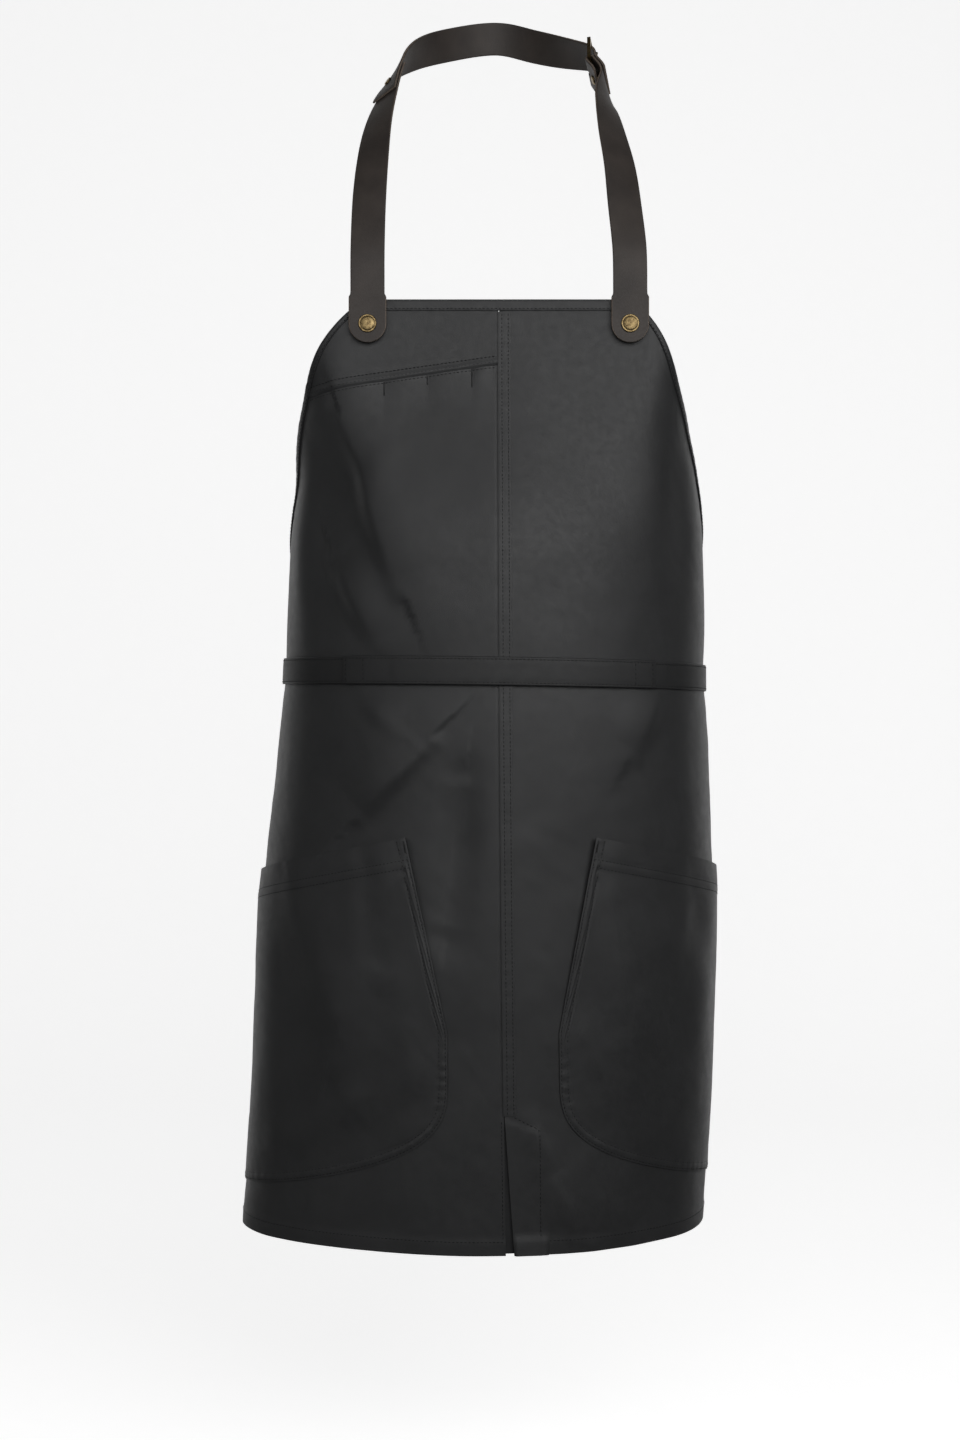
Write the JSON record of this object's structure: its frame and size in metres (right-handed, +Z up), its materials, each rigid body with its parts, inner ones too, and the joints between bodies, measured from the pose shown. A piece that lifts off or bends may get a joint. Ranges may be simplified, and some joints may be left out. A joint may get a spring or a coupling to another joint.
{
  "type": "bib apron",
  "caption": "Workwear bib apron in black coated cloth with a buckled leather neck strap on press studs, waist belt, bib pocket and hip pockets.",
  "frame": {"origin": "inner face of the neck strap at the nape, where the wearer's neck carries the apron", "axes": "+X to the right seen from the front, +Y from the front to the wearer's back, +Z up"},
  "size_m": [0.4269, 0.2488, 1.1054],
  "materials": {
    "coated_cloth": "black coated canvas, dull satin, fine twill weave",
    "trim_cloth": "black coated canvas, folded edges and bands",
    "leather": "dark brown smooth leather, matt, raw cut edges",
    "antique_brass": "antique brass, darkened in the recesses",
    "thread": "black sewing thread"
  },
  "bodies": {
    "neck_strap": {"strap_left": "leather", "strap_nape": "leather", "strap_right": "leather", "strap_rivets": "antique_brass"},
    "buckle": {"buckle_frame": "antique_brass"},
    "prong": {"buckle_prong": "antique_brass"},
    "snap_tabs": {"tab_left": "leather", "tab_right": "leather", "snap_caps": "antique_brass", "snap_sockets": "antique_brass"},
    "apron": {"panel_left": "coated_cloth", "panel_right": "coated_cloth", "bib_yoke": "coated_cloth", "hip_pocket_left": "coated_cloth", "hip_pocket_right": "coated_cloth", "centre_seam_lap": "trim_cloth", "bib_top_hem": "trim_cloth", "armhole_binding_left": "trim_cloth", "armhole_binding_right": "trim_cloth", "side_hem_left": "trim_cloth", "side_hem_right": "trim_cloth", "bottom_hem_left": "trim_cloth", "bottom_hem_right": "trim_cloth", "vent_facing_left": "trim_cloth", "vent_facing_right": "trim_cloth", "vent_underlap": "trim_cloth", "belt_front": "trim_cloth", "belt_side_left": "trim_cloth", "belt_side_right": "trim_cloth", "belt_stud_cap": "antique_brass", "belt_stud_post": "antique_brass", "snap_studs": "antique_brass", "snap_posts": "antique_brass"}
  },
  "joints": [
    {"name": "neck_fold", "type": "hinge", "parent": "neck_strap", "child": "snap_tabs", "pos_m": [0, -0.16885, -0.276], "axis": [1, 0, 0], "range_deg": [-150, 10]},
    {"name": "snap_release", "type": "slide", "parent": "snap_tabs", "child": "apron", "axis": [0, 1, 0], "range_m": [0, 0.012]},
    {"name": "buckle_swing", "type": "hinge", "parent": "neck_strap", "child": "buckle", "pos_m": [0.086, -0.06775, -0.055], "axis": [0.2402, 0.7855, -0.5703], "range_deg": [0, 5]},
    {"name": "prong_swing", "type": "hinge", "parent": "buckle", "child": "prong", "pos_m": [0.086, -0.06775, -0.055], "axis": [0.2402, 0.7855, -0.5703], "range_deg": [0, 5]}
  ]
}
